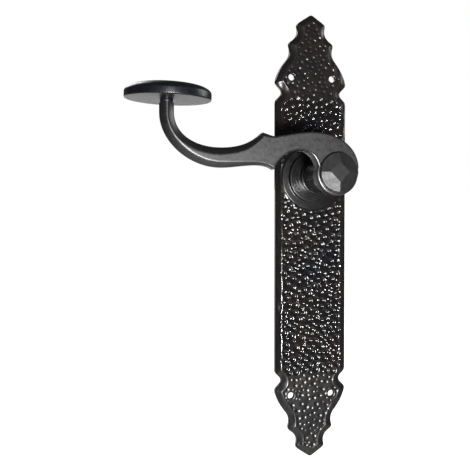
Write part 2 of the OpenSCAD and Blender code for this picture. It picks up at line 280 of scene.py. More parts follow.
def nylon():
    """Natural nylon: off-white, and a little translucent."""
    finish = Finish("nylon", (0.80, 0.79, 0.72), 0.45)
    finish.wire(finish.mix(finish.between(finish.noise(3, 3), 0, 1), (0.80, 0.79, 0.72),
                           (0.72, 0.70, 0.61)), "Base Color")
    finish.wire(finish.between(finish.noise(0.8, 3), 0.38, 0.52), "Roughness")
    finish.bump(finish.noise(0.3, 2), 0.006)
    finish.set("Subsurface Weight", 0.1)
    finish.set("Subsurface Scale", 0.001)
    return finish.material


# ---- flat drawings ----

def curve(a, b, c, d, steps):
    """Points of a cubic Bezier curve from a to d, without its first point."""
    t = (np.arange(1, steps + 1) / steps)[:, None]
    a, b, c, d = (np.array(p, float) for p in (a, b, c, d))
    return (1 - t) ** 3 * a + 3 * (1 - t) ** 2 * t * b + 3 * (1 - t) * t ** 2 * c + t ** 3 * d


def directions(loop):
    """Unit vectors along the sides of a closed loop, and the sides' lengths."""
    sides = np.roll(loop, -1, 0) - loop
    lengths = np.linalg.norm(sides, axis=1)
    return sides / lengths[:, None], lengths


def refined(loop, step, corner=25):
    """A closed loop with points about step apart, smooth but for kinks over corner degrees."""
    ahead, lengths = directions(loop)
    behind, shorter = np.roll(ahead, 1, 0), np.roll(lengths, 1)
    kink = np.degrees(np.arccos(np.clip((ahead * behind).sum(1), -1, 1)))
    mean = behind * shorter[:, None] + ahead * lengths[:, None]
    mean /= np.linalg.norm(mean, axis=1)[:, None]
    sharp = (kink > corner)[:, None]
    leave, arrive = np.where(sharp, ahead, mean), np.where(sharp, behind, mean)
    points = []
    for i in range(len(loop)):
        j = (i + 1) % len(loop)
        count = max(1, round(lengths[i] / step))
        third = lengths[i] / 3
        points.append(loop[i][None, :])
        if count > 1:
            points.append(curve(loop[i], loop[i] + leave[i] * third, loop[j] - arrive[j] * third,
                                loop[j], count)[:-1])
    return np.vstack(points)


def softened(loop, rounds):
    """A closed loop whose corners are worn round."""
    for _ in range(rounds):
        loop = 0.5 * loop + 0.25 * (np.roll(loop, 1, 0) + np.roll(loop, -1, 0))
    return loop


def inward(loop):
    """Unit vectors that point into a loop drawn anticlockwise, one for each point."""
    ahead, _ = directions(loop)
    mean = ahead + np.roll(ahead, 1, 0)
    mean /= np.linalg.norm(mean, axis=1)[:, None]
    return np.column_stack([-mean[:, 1], mean[:, 0]])


def area(loop):
    following = np.roll(loop, -1, 0)
    return (loop[:, 0] * following[:, 1] - following[:, 0] * loop[:, 1]).sum() / 2


def anticlockwise(loop):
    return loop if area(loop) > 0 else loop[::-1]


def circle(radius, centre=(0, 0), step=0.5):
    count = max(16, int(2 * math.pi * radius / step))
    angles = np.linspace(0, 2 * math.pi, count, endpoint=False)
    return np.array(centre) + radius * np.column_stack([np.cos(angles), np.sin(angles)])


def inside(points, loops):
    """Whether each point is inside an odd number of the loops."""
    within = np.zeros(len(points), bool)
    for loop in loops:
        following = np.roll(loop, -1, 0)
        for (x0, z0), (x1, z1) in zip(loop, following):
            crosses = (z0 > points[:, 1]) != (z1 > points[:, 1])
            if crosses.any():
                at = x0 + (points[crosses, 1] - z0) * (x1 - x0) / (z1 - z0)
                within[np.nonzero(crosses)[0][points[crosses, 0] < at]] ^= True
    return within


def tree_of(points):
    tree = KDTree(len(points))
    for i, (x, z) in enumerate(points):
        tree.insert((x, z, 0), i)
    tree.balance()
    return tree


def distance(points, loops):
    """How far each point is from the nearest of some loops."""
    tree = tree_of(np.vstack([refined(loop, 0.15) for loop in loops]))
    return np.array([tree.find((x, z, 0))[2] for x, z in points])


def grid(loops, step):
    """A staggered grid of points inside the loops."""
    low, high = loops[0].min(0), loops[0].max(0)
    points = []
    for i, z in enumerate(np.arange(low[1], high[1], step * math.sqrt(0.75))):
        row = np.arange(low[0] + (i % 2) * step / 2, high[0], step)
        points.append(np.column_stack([row, np.full(len(row), z)]))
    points = np.vstack(points)
    return points[inside(points, loops)]


def triangles(loops, extra):
    """Fills the area between loops, using extra points too. The points' order is loops, extra."""
    points = np.vstack([*loops, extra]) if len(extra) else np.vstack(loops)
    edges, start = [], 0
    for loop in loops:
        edges += [(start + i, start + (i + 1) % len(loop)) for i in range(len(loop))]
        start += len(loop)
    _, _, faces, origins, _, _ = delaunay_2d_cdt([Vector(p) for p in points], edges, [], 0, 1e-7)
    first = [o[0] if o else -1 for o in origins]
    faces = np.array([[first[v] for v in face] for face in faces])
    on_border = (faces < start).all(1)
    middles = points[faces[on_border]].mean(1)
    keep = np.ones(len(faces), bool)
    keep[np.nonzero(on_border)[0][~inside(middles, loops)]] = False
    faces = faces[keep]
    a, b, c = (points[faces[:, i]] for i in range(3))
    turn = (b - a)[:, 0] * (c - a)[:, 1] - (b - a)[:, 1] * (c - a)[:, 0]
    faces[turn < 0] = faces[turn < 0][:, ::-1]
    return faces


def ripple(points, wavelength, seed):
    """Smooth irregular waves between about -1 and 1."""
    source = np.random.default_rng(seed)
    total = np.zeros(len(points))
    for _ in range(7):
        angle, phase = source.uniform(0, 2 * math.pi, 2)
        pace = 2 * math.pi / wavelength * source.uniform(0.6, 1.5)
        total += np.sin(pace * (points @ np.array([math.cos(angle), math.sin(angle)])) + phase)
    return total / 2.6


def smooth(t):
    t = np.clip(t, 0, 1)
    return t * t * (3 - 2 * t)


# ---- solids ----

class Solid:
    """A mesh built up from rings of points and the faces between them."""

    def __init__(self):
        self.points, self.faces, self.marks = [], [], {}
        self.count = 0

    def add(self, flat, height):
        """Adds points of a flat drawing at a height, or at heights, and returns their numbers."""
        heights = np.broadcast_to(height, len(flat))
        self.points.append(np.column_stack([flat[:, 0], -heights, flat[:, 1]]))
        numbers = np.arange(self.count, self.count + len(flat))
        self.count += len(flat)
        return numbers

    def wall(self, front, back):
        """Joins two rings of as many points. With anticlockwise rings the wall looks outwards."""
        for i in range(len(front)):
            j = (i + 1) % len(front)
            self.faces.append((front[i], back[i], back[j], front[j]))

    def fill(self, numbers, faces, towards_front=True):
        """Adds the faces of a flat drawing whose points have these numbers."""
        for a, b, c in faces:
            face = (numbers[a], numbers[b], numbers[c])
            self.faces.append(face if towards_front else face[::-1])

    def mesh(self, name):
        """The mesh in metres, with its marks as attributes of the first points."""
        mesh = bpy.data.meshes.new(name)
        points = np.vstack(self.points) * MM
        mesh.from_pydata([tuple(p) for p in points], [], [tuple(int(v) for v in f) for f in self.faces])
        for mark, values in self.marks.items():
            layer = mesh.attributes.new(mark, "FLOAT", "POINT")
            full = np.zeros(self.count, np.float32)
            full[:len(values)] = values
            layer.data.foreach_set("value", full)
        mesh.validate()
        return mesh


def finished(name, mesh, body, slot, finish, *nodes, crease=32):
    """Makes a piece of a mesh: smooth but for creases, with its material and body. The slot is not
    used.
    """
    mesh.polygons.foreach_set("use_smooth", np.ones(len(mesh.polygons), bool))
    mesh.set_sharp_from_angle(angle=math.radians(crease))
    mesh.materials.clear()
    mesh.materials.append(finish)
    piece = link(name, mesh)
    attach(piece, body)
    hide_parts(*nodes)
    return piece


def rounded(corners, steps=5):
    """A section's points from its corners (radius, height, fillet)."""
    points = np.array([c[:2] for c in corners], float)
    section = []
    for i, (_, _, fillet) in enumerate(corners):
        here = points[i]
        if not fillet:
            section.append(here)
            continue
        back, ahead = points[i - 1] - here, points[(i + 1) % len(points)] - here
        back, ahead = back / np.linalg.norm(back), ahead / np.linalg.norm(ahead)
        half = math.acos(np.clip(back @ ahead, -1, 1)) / 2
        centre = here + (back + ahead) / np.linalg.norm(back + ahead) * fillet / math.sin(half)
        start = here + back * fillet / math.tan(half) - centre
        end = here + ahead * fillet / math.tan(half) - centre
        turn = math.pi - 2 * half
        for k in range(steps + 1):
            t = k / steps
            section.append(centre + (math.sin((1 - t) * turn) * start + math.sin(t * turn) * end)
                           / math.sin(turn))
    return np.array(section)


def lathe(name, section, sides=144):
    """Turns a section about the spindle's axis. Its points run anticlockwise in (radius, height).
    A section that starts and ends on the axis is closed there by two poles."""
    mesh = bpy.data.meshes.new(name)
    poles = section[0][0] < 1e-6 and section[-1][0] < 1e-6
    ring = section[1:-1] if poles else section
    angles = np.linspace(0, 2 * math.pi, sides, endpoint=False)
    points = [(r * math.cos(a) * MM, -h * MM, r * math.sin(a) * MM) for a in angles for r, h in ring]
    n = len(ring)
    faces = []
    for i in range(sides):
        j = (i + 1) % sides
        for k in range(n - 1 if poles else n):
            m = (k + 1) % n
            faces.append((i * n + k, j * n + k, j * n + m, i * n + m))
    if poles:
        low, high = len(points), len(points) + 1
        points += [(0, -section[0][1] * MM, 0), (0, -section[-1][1] * MM, 0)]
        for i in range(sides):
            j = (i + 1) % sides
            faces.append((low, j * n, i * n))
            faces.append((high, i * n + n - 1, j * n + n - 1))
    mesh.from_pydata(points, [], faces)
    outwards(mesh)
    return mesh


def outwards(mesh):
    """Makes every face of a closed mesh look outwards."""
    work = bmesh.new()
    work.from_mesh(mesh)
    bmesh.ops.recalc_face_normals(work, faces=work.faces)
    if work.calc_volume(signed=True) < 0:
        bmesh.ops.reverse_faces(work, faces=work.faces)
    work.to_mesh(mesh)
    work.free()


def combined(mesh, others, operation):
    """The mesh united with or cut by other meshes, one after the other."""
    body = link("body", mesh)
    tools = []
    for other in others:
        tool = link("tool", other)
        step = body.modifiers.new("cut", "BOOLEAN")
        step.object, step.operation, step.solver = tool, operation, "EXACT"
        tools.append(tool)
    bpy.context.view_layer.update()
    result = bpy.data.meshes.new_from_object(
        body.evaluated_get(bpy.context.evaluated_depsgraph_get()))
    for item in [body, *tools]:
        bpy.data.objects.remove(item)
    return result


def moved(mesh, matrix):
    mesh.transform(matrix)
    return mesh


# ---- backplate ----

PLATE_FRONT = extent("backplate")[2]
PLATE_EDGE = PLATE_FRONT - 1.9
PLATE_RIDGE = PLATE_FRONT + 0.02
PLATE_FIELD = PLATE_FRONT - 0.12
BORDER_WIDTH = 4.1
EDGE_ROUND = 0.45
PLATE_MIDDLE_Z = -40.0
FINIAL_START = 92.0
FLANGE_RADIUS = extent("rosette")[0]
RECESS_RADIUS, RECESS_DEPTH, RELIEF_RADIUS = 21.3, 2.6, 4.5
PLATE_GRID = 0.46
BACK_INSET, BACK_RISE = 0.25, 0.3
# How far from the plate's middle the paint starts to turn duller, and over what length.
DULL_START, DULL_FADE = 84.0, 14.0
# The hammer's pits: the smallest and the largest radius, and how many places are tried.
PIT_SIZES = ((2.0, 2.6, 3200), (1.4, 1.9, 5200), (0.8, 1.2, 8000))


def cad_loops(node, height):
    """The outline and the holes of a CAD node's flat face at a height, the largest first."""
    work = bmesh.new()
    work.from_mesh(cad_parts[node].data)
    bmesh.ops.remove_doubles(work, verts=work.verts, dist=1e-6)
    flat = {f.index for f in work.faces
            if f.normal.y < -0.99 and abs(f.calc_center_median().y / MM + height) < 0.01}
    joined = {}
    for edge in work.edges:
        if sum(f.index in flat for f in edge.link_faces) == 1:
            a, b = edge.verts
            joined.setdefault(a.index, []).append(b.index)
            joined.setdefault(b.index, []).append(a.index)
    work.verts.ensure_lookup_table()
    loops = []
    while joined:
        here, loop = min(joined), []
        while here is not None:
            co = work.verts[here].co / MM
            loop.append((co.x, co.z))
            here = next((v for v in joined.pop(here) if v in joined), None)
        loops.append(anticlockwise(np.array(loop)))
    work.free()
    return sorted(loops, key=area, reverse=True)


PLATE_LOOPS = cad_loops("backplate", PLATE_FRONT)
PLATE_OUTLINE = PLATE_LOOPS[0]


def scattered_pits(outline, holes):
    """The hammer's pits, as rows (x, z, radius, depth, aspect, angle): the large ones first,
    then small ones in the gaps. The ends of the plate have small, shallow pits only."""
    source = random.Random(11)
    low, high = outline.min(0), outline.max(0)
    tries = []
    for smallest, largest, count in PIT_SIZES:
        for _ in range(count):
            tries.append((source.uniform(low[0], high[0]), source.uniform(low[1], high[1]),
                          source.uniform(smallest, largest), source.uniform(0.26, 0.38),
                          source.choice((1.0, 1.0, 1.0, 1.1, 1.2)), source.uniform(0, math.pi)))
    tries = np.array(tries)
    tries = tries[inside(tries[:, :2], [outline])]
    room = distance(tries[:, :2], [outline]) - BORDER_WIDTH - 0.25
    room = np.minimum(room, distance(tries[:, :2], holes) - 1.2)
    finial = abs(tries[:, 1] - PLATE_MIDDLE_Z) > FINIAL_START
    around = np.hypot(tries[:, 0], tries[:, 1])
    allowed = (room > 0.45 * tries[:, 2]) & ~(finial & (tries[:, 2] > 1.5))
    allowed &= around > FLANGE_RADIUS + 0.5
    pits = np.empty((0, 6))
    apart = np.where(finial, 1.25, 0.93)
    for pit, spacing in zip(tries[allowed], apart[allowed]):
        gap = np.hypot(pits[:, 0] - pit[0], pits[:, 1] - pit[1]) - spacing * (pits[:, 2] + pit[2])
        if not len(pits) or gap.min() > 0:
            pits = np.vstack([pits, pit])
    pits[abs(pits[:, 1] - PLATE_MIDDLE_Z) > FINIAL_START, 3] *= 0.65
    return pits


def pit_depths(points, pits):
    """How deep the pits are at each point: steep walls and a soft rim, merged where they meet."""
    total = np.zeros(len(points))
    order = np.argsort(points[:, 1])
    rows = points[order]
    for x, z, radius, depth, aspect, angle in pits:
        reach = radius * aspect
        start, end = np.searchsorted(rows[:, 1], (z - reach, z + reach))
        near = rows[start:end] - (x, z)
        along = near @ np.array([math.cos(angle), math.sin(angle)])
        across = near @ np.array([-math.sin(angle), math.cos(angle)])
        spread = np.sqrt((along / aspect) ** 2 + across ** 2) / radius
        here = depth * radius * np.clip(1 - spread ** 3.2, 0, 1) ** 1.6
        total[order[start:end]] += here ** 4
    return total ** 0.25


def plate_heights(points, edge, holes):
    """The front's height: a sloping border, a ridge, and the hammered field."""
    border = edge + 0.25 * ripple(points, 8, 3) * np.clip(edge / 2, 0, 1)
    climb = np.clip(border / BORDER_WIDTH, 0, 1)
    height = PLATE_EDGE + (PLATE_RIDGE - PLATE_EDGE) * (1 - (1 - climb) ** 1.08)
    field = smooth((border - BORDER_WIDTH) / 1.6)
    height += (PLATE_FIELD - PLATE_RIDGE) * field + 0.06 * ripple(points, 12, 4) * field
    wobble = points + 0.12 * np.column_stack([ripple(points, 5, 5), ripple(points, 5, 6)])
    height -= pit_depths(wobble, scattered_pits(PLATE_OUTLINE, holes))
    hole = distance(points, holes)
    lip = smooth((2.0 - hole) / 1.1)
    height = height * (1 - lip) + (PLATE_FIELD + 0.05) * lip
    seat = smooth((FLANGE_RADIUS + 2.6 - np.hypot(points[:, 0], points[:, 1])) / 2.2)
    height = height * (1 - seat) + PLATE_FRONT * seat
    for gap, radius in ((edge, EDGE_ROUND), (hole, 0.3)):
        low = np.clip(radius - gap, 0, radius)
        height -= radius - np.sqrt(radius ** 2 - low ** 2)
    return height


def make_backplate():
    """The hammered plate, with its recess behind and its holes."""
    loops = [softened(refined(PLATE_OUTLINE, 0.5), 8)]
    loops += [refined(loop, 0.5) for loop in PLATE_LOOPS[1:]]
    outline, spigot = loops[0], loops[1]
    screws = [h for h in loops[2:] if abs(h.mean(0)[1] - PLATE_MIDDLE_Z) > FINIAL_START]
    dowels = [h for h in loops[2:] if abs(h.mean(0)[1] - PLATE_MIDDLE_Z) <= FINIAL_START]
    loops = [outline, spigot, *screws, *dowels]
    spread = grid(loops, PLATE_GRID)
    spread = spread[distance(spread, [outline]) > 0.62]
    spread = spread[distance(spread, loops[1:]) > 0.3]
    rows = [outline + inward(outline) * gap for gap in (0.07, 0.2, 0.42)]
    extra = np.vstack([*rows, spread])
    points = np.vstack([*loops, extra])
    edge = distance(points, [outline])
    edge[:len(outline)] = 0
    heights = plate_heights(points, edge, screws)
    for i, loop in enumerate(screws):
        start = len(outline) + len(spigot) + sum(len(s) for s in screws[:i])
        heights[start:start + len(loop)] = heights[start:start + len(loop)].mean()
    solid = Solid()
    front = solid.add(points, heights)
    solid.marks["ridge"] = smooth(1 - abs(edge - BORDER_WIDTH) / 1.3)
    solid.marks["dull"] = smooth((abs(points[:, 1] - PLATE_MIDDLE_Z) - DULL_START) / DULL_FADE)
    solid.fill(front, triangles(loops, extra))
    side = solid.add(outline, BACK_RISE)
    back = outline + BACK_INSET * inward(outline)
    rim = solid.add(back, 0)
    solid.wall(front[:len(outline)], side)
    solid.wall(side, rim)
    start, rings = len(outline), []
    for loop in loops[1:]:
        rings.append(solid.add(loop, RECESS_DEPTH))
        solid.wall(front[start:start + len(loop)], rings[-1])
        start += len(loop)
    pockets = [(circle(RECESS_RADIUS), [spigot, *dowels])]
    pockets += [(circle(RELIEF_RADIUS, screw.mean(0)), [screw]) for screw in screws]
    nothing = np.empty((0, 2))
    mouths = []
    for pocket, within in pockets:
        mouth, seat = solid.add(pocket, 0), solid.add(pocket, RECESS_DEPTH)
        solid.wall(mouth, seat)
        mouths.append(mouth)
        here = [ring for loop, ring in zip(loops[1:], rings) if any(loop is w for w in within)]
        solid.fill(np.concatenate([seat, *here]), triangles([pocket, *within], nothing))
    solid.fill(np.concatenate([rim, *mouths]), triangles([back, *(p for p, _ in pockets)], nothing))
    mesh = solid.mesh("backplate_hammered")
    outwards(mesh)
    finished("backplate_hammered", mesh, PLATE_BODY, "plate_paint", plate_paint(), "backplate",
             crease=50)


# ---- rosette and collar ----

CHAMBER_RADIUS, CHAMBER_FRONT = 13.95, 8.2
SPIGOT_RADIUS = 17.5
FLANGE_FRONT = 6.4
STEP_RADIUS, STEP_FRONT = 16.8, 9.2
BEADS, BEADS_FRONT, BEAD_STEP = 4, 14.0, 0.8
COLLAR_SEAT, COLLAR_BORE = 10.2, 9.2


def make_rosette():
    """Turned flange, step and beads, hollow behind for the spring, and the collar in front."""
    half, back, front = extent("rosette")
    rise, bead, bore = (front - STEP_FRONT) / BEADS, STEP_RADIUS - 1.5, COLLAR_SEAT + 0.05
    corners = [(CHAMBER_RADIUS, back, 0), (SPIGOT_RADIUS, back, 0.3), (SPIGOT_RADIUS, PLATE_FRONT, 0),
               (half, PLATE_FRONT, 0.15), (half, FLANGE_FRONT, 0.6), (STEP_RADIUS, FLANGE_FRONT, 0.6),
               (STEP_RADIUS, STEP_FRONT, 0.6)]
    for i in range(BEADS):
        radius, low = bead - BEAD_STEP * i, STEP_FRONT + rise * i
        corners += [(radius, low, 0.1), (radius, low + rise, 0.08)]
    corners += [(bore, front, 0.2), (bore, CHAMBER_FRONT, 0), (CHAMBER_RADIUS, CHAMBER_FRONT, 0.4)]
    finished("rosette_turned", lathe("rosette_turned", rounded(corners), 192), PLATE_BODY,
             "rosette_paint", rosette_paint(), "rosette")
    half, back, front = extent("guide_collar")
    corners = [(COLLAR_BORE, back, 0.1), (COLLAR_SEAT, back, 0.2), (COLLAR_SEAT, BEADS_FRONT, 0),
               (half, BEADS_FRONT, 0.15), (half, front, 0.6), (COLLAR_BORE, front, 0.15)]
    finished("collar_turned", lathe("collar_turned", rounded(corners), 160), PLATE_BODY,
             "rosette_paint", rosette_paint(), "guide_collar")


# ---- lever ----

ARM_FRONT, ARM_THICKNESS = 50.0, 8.5
ARM_MIDDLE = ARM_FRONT - ARM_THICKNESS / 2
TIP_X, TIP_Z, TIP_RADIUS = -105.15, 39.8, 4.35
DISC_LEAN, DISC_TILT, DISC_OFFSET, STUD_NECK = 2.0, 1.6, 0.7, 1.5
HEAD_LIFT = 0.7
HOOK_START_X, HOOK_JOIN_Z = -95.0, 34.0
SHOULDER = 1.1
NECK_BACK, NECK_RADIUS, WAIST = 19.15, 9.6, 33.0
GRUB_HEIGHT = 30
FACET_RISE, FACET_SLOPE = 2.0, 14.5
# Along the arm, from the boss to the hook: x, then for the upper and for the lower side
# the bevel's width and half the height of the straight side below it, and last how
# round the bevels are, from 0 to 1.
ARM_SECTIONS = np.array([
    (-12.0, 0.5, 3.75, 1.6, 3.2, 1.0),
    (-18.0, 0.5, 3.75, 0.5, 3.75, 1.0),
    (-36.0, 0.5, 3.75, 0.5, 3.75, 1.0),
    (-40.0, 0.9, 3.4, 0.8, 3.45, 0.9),
    (-44.0, 1.4, 2.9, 1.2, 3.0, 0.75),
    (-50.0, 2.4, 2.0, 1.6, 1.9, 0.3),
    (-57.0, 3.3, 1.3, 1.9, 1.5, 0.2),
    (-73.0, 4.0, 1.0, 3.0, 0.7, 0.2),
    (-82.0, 4.0, 0.9, 3.2, 0.6, 0.3),
    (-92.0, 3.9, 0.5, 3.5, 0.5, 0.2),
    (-101.0, 4.2, 0.1, 3.9, 0.1, 0.4)])
UPPER, LOWER = (1, 2), (3, 4)
# Rows of points across the bevels, as shares of the bevel's width.
BEVEL_ROWS = (0.02, 0.08, 0.18, 0.32, 0.5, 0.68, 0.82, 0.92, 1.0, 1.1, 1.22)


def along_arm(points, column):
    """One of the arm's measures at each point, by its column in ARM_SECTIONS."""
    return np.interp(-points[:, 0], -ARM_SECTIONS[:, 0], ARM_SECTIONS[:, column])


def arm_loop():
    """The arm's outline with the hook drawn out to its round end, its upper and its lower side,
    which run on past the hook's end, and whether each outline point is on the lower side."""
    loop = refined(cad_loops("lever", ARM_FRONT)[0], 0.5)
    hook = (loop[:, 0] < HOOK_START_X) & (loop[:, 1] > HOOK_JOIN_Z - 0.4)
    first = next(i for i in range(len(loop)) if hook[i] and not hook[i - 1])
    loop = np.roll(loop, -first, 0)
    hook = np.roll(hook, -first)
    sides = loop[~hook]
    right, left = sides[-1], sides[0]
    if right[0] < left[0]:
        right, left = left, right
    turn = np.radians(np.linspace(0, 90, 6))
    shoulder = TIP_RADIUS - SHOULDER
    corner = np.column_stack([shoulder + SHOULDER * np.cos(turn),
                              TIP_Z - SHOULDER + SHOULDER * np.sin(turn)])
    up_right = [(TIP_X + x, z) for x, z in corner]
    up_left = [(TIP_X - x, z) for x, z in corner[::-1]]
    straight = np.linspace(HOOK_JOIN_Z, TIP_Z - SHOULDER, 9)[:-1]
    rise = [(np.interp(z, (right[1], TIP_Z), (right[0], TIP_X + TIP_RADIUS)), z) for z in straight]
    fall = [(np.interp(z, (left[1], TIP_Z), (left[0], TIP_X - TIP_RADIUS)), z) for z in straight[::-1]]
    end = np.column_stack([np.linspace(shoulder, -shoulder, 14)[1:-1] + TIP_X, np.full(12, TIP_Z)])
    cap = np.array([*rise, *up_right, *end, *up_left, *fall])
    if np.linalg.norm(sides[-1] - cap[0]) > np.linalg.norm(sides[-1] - cap[-1]):
        cap = cap[::-1]
    fine = refined(sides, 0.15)
    fine = fine[:1 + np.nonzero(np.linalg.norm(fine - sides[-1], axis=1) < 0.01)[0][-1]]
    nose = fine[:, 0].argmax()
    beyond = np.arange(HOOK_JOIN_Z, TIP_Z + 6, 0.2)
    left_line, right_line = (np.column_stack([np.full(len(beyond), side[0]), beyond])
                             for side in (left, right))
    lower, upper = np.vstack([fine[:nose + 1], left_line]), np.vstack([fine[nose:], right_line])
    loop = np.vstack([sides, cap])
    is_lower = np.arange(len(loop)) <= sides[:, 0].argmax()
    is_lower[len(sides):] = cap[:, 0] < TIP_X
    return loop, upper, lower, is_lower


def bevelled(points, gap, columns):
    """Half the arm's thickness beside one of its sides, at a gap inside that side."""
    width, side = along_arm(points, columns[0]), along_arm(points, columns[1])
    roundness = along_arm(points, 5)
    u = gap / width
    blend = np.clip(0.24 - abs(u - 1), 0, 0.24) / 0.24
    chamfer = np.minimum(u, 1) - blend ** 2 * 0.06
    arch = np.sqrt(1 - (1 - np.clip(u, 0, 1)) ** 2)
    return side + (ARM_THICKNESS / 2 - side) * ((1 - roundness) * chamfer + roundness * arch)


def arm_half(points, gaps):
    """Half the arm's thickness at points with gaps to its upper and its lower side."""
    half = np.minimum(bevelled(points, gaps[0], UPPER), bevelled(points, gaps[1], LOWER))
    end = TIP_Z - points[:, 1]
    near_end = (points[:, 0] < HOOK_START_X) & (end < SHOULDER)
    shrink = SHOULDER - np.sqrt(np.clip(SHOULDER ** 2 - (SHOULDER - end) ** 2, 0, None))
    radius = TIP_RADIUS - np.where(near_end, shrink, 0)
    offset = abs(points[:, 0] - TIP_X)
    round_end = 0.1 + np.sqrt(np.clip(radius ** 2 - offset ** 2, 0, None))
    return np.where(near_end, np.minimum(half, round_end), half)


def arm_mesh():
    """The arm and its hook: two mirrored faces that fall off towards the outline, and a wall."""
    loop, upper, lower, is_lower = arm_loop()
    width = np.where(is_lower, along_arm(loop, LOWER[0]), along_arm(loop, UPPER[0]))
    rows = []
    for share in BEVEL_ROWS:
        gap = width * share
        row = loop + inward(loop) * gap[:, None]
        true = distance(row, [loop])
        rows.append(row[(gap > 0.04) & (abs(true - gap) < 0.04 * gap + 0.01) & inside(row, [loop])])
    rows = np.vstack(rows)
    taken = tree_of(rows)
    spread = grid([loop], 0.6)
    clear = np.array([taken.find((x, z, 0))[2] for x, z in spread]) > 0.33
    far = distance(spread, [loop])
    spread = spread[clear & (far > 0.5)]
    extra = thinned(np.vstack([rows, spread]), 0.05)
    points = np.vstack([loop, extra])
    gaps = []
    for side, on_side in ((upper, ~is_lower), (lower, is_lower)):
        tree = tree_of(side)
        gap = np.array([tree.find((x, z, 0))[2] for x, z in points])
        gap[:len(loop)][on_side & (loop[:, 1] < TIP_Z - 0.01)] = 0
        gaps.append(gap)
    half = arm_half(points, gaps)
    faces = triangles([loop], extra)
    solid = Solid()
    front = solid.add(points, ARM_MIDDLE + half)
    back = solid.add(points, ARM_MIDDLE - half)
    solid.fill(front, faces)
    solid.fill(back, faces, towards_front=False)
    solid.wall(front[:len(loop)], back[:len(loop)])
    past = [gap - 0.9 * along_arm(points, side[0]) for gap, side in zip(gaps, (UPPER, LOWER))]
    past = np.where(abs(past[0]) < abs(past[1]), past[0], past[1])
    solid.marks["edge"] = np.tile(np.exp(-(past / 0.45) ** 2) * smooth((points[:, 0] + 90) / 12), 2)
    mesh = solid.mesh("arm")
    outwards(mesh)
    return mesh


def thinned(points, least):
    """The points without those closer than least to an earlier one."""
    tree = tree_of(points)
    keep = [min(i for _, i, _ in tree.find_range((x, z, 0), least)) == n
            for n, (x, z) in enumerate(points)]
    return points[np.array(keep)]


def neck_mesh():
    """Tail, groove, waisted neck and flare, turned in one piece."""
    heights = np.linspace(NECK_BACK, 40.6, 28)
    bulge = np.where(heights < WAIST, 60, 26)
    radii = NECK_RADIUS + bulge - np.sqrt(bulge ** 2 - (heights - WAIST) ** 2)
    tail, groove, tail_back = 8.0, 7.35, 4.2
    start = rounded([(0, tail_back, 0), (tail, tail_back, 0.5), (tail, 4.95, 0), (groove, 4.95, 0),
                     (groove, 6.05, 0), (tail, 6.05, 0), (tail, NECK_BACK, 0),
                     (radii[0], NECK_BACK, 0.3), (radii[1], heights[1], 0), (0, 60, 0)])[:-2]
    flare_radius, flare = 1.5, np.radians(np.linspace(0, 75, 7)[1:])
    middle = radii[-1] + flare_radius
    flares = np.column_stack([middle - flare_radius * np.cos(flare),
                              heights[-1] + flare_radius * np.sin(flare)])
    end = [(flares[-1][0], 43.5), (0, 43.5)]
    section = np.vstack([start, np.column_stack([radii, heights])[1:], flares, end])
    return lathe("neck", section, 128)


def rod(radius, back, front, turn=Matrix.Identity(4), sides=64):
    """A plain round tool for cutting, along the height or turned from there."""
    section = np.array([(0, back), (radius, back), (radius, front), (0, front)])
    return moved(lathe("rod", section, sides), turn)


def square_bar(side, back, front):
    """A square tool for cutting, along the height."""
    mesh = bpy.data.meshes.new("bar")
    work = bmesh.new()
    bmesh.ops.create_cube(work, size=1)
    work.to_mesh(mesh)
    work.free()
    size = Matrix.Diagonal((side * MM, (front - back) * MM, side * MM, 1))
    return moved(mesh, Matrix.Translation((0, -(front + back) / 2 * MM, 0)) @ size)


# UPRIGHT turns the height axis to +Z. AT_TIP also puts it at the hook's end, with the
# disc's lean and tilt, and AT_HEAD only lifts it to the head's middle.
UPRIGHT = Matrix.Rotation(math.radians(-90), 4, "X")
AT_HEAD = Matrix.Translation((0, 0, HEAD_LIFT * MM))
AT_TIP = (Matrix.Translation(Vector((TIP_X, -ARM_MIDDLE, TIP_Z)) * MM)
          @ Matrix.Rotation(math.radians(DISC_TILT), 4, "Y")
          @ Matrix.Rotation(math.radians(DISC_LEAN), 4, "X") @ UPRIGHT)


def make_lever():
    """The forged lever, with the spindle's socket and the holes for cap, grub screw and stud."""
    at_grub = Matrix.Translation((0, -GRUB_HEIGHT * MM, 0)) @ UPRIGHT
    whole = combined(arm_mesh(), [neck_mesh()], "UNION")
    socket, cap_hole = square_bar(8.1, 3.2, 44.5), rod(4.05, 45.5, 51, AT_HEAD)
    grub_hole, stud_hole = rod(2.55, -14.5, 0, at_grub), rod(2.55, -8.5, 1, AT_TIP)
    whole = combined(whole, [socket, cap_hole, grub_hole, stud_hole], "DIFFERENCE")
    whole.name = "lever_forged"
    finished("lever_forged", whole, LEVER_BODY, "lever_paint",
             satin_paint("lever_satin", (0.0032, 0.0033, 0.0040), 0.41, ior=1.75), "lever")


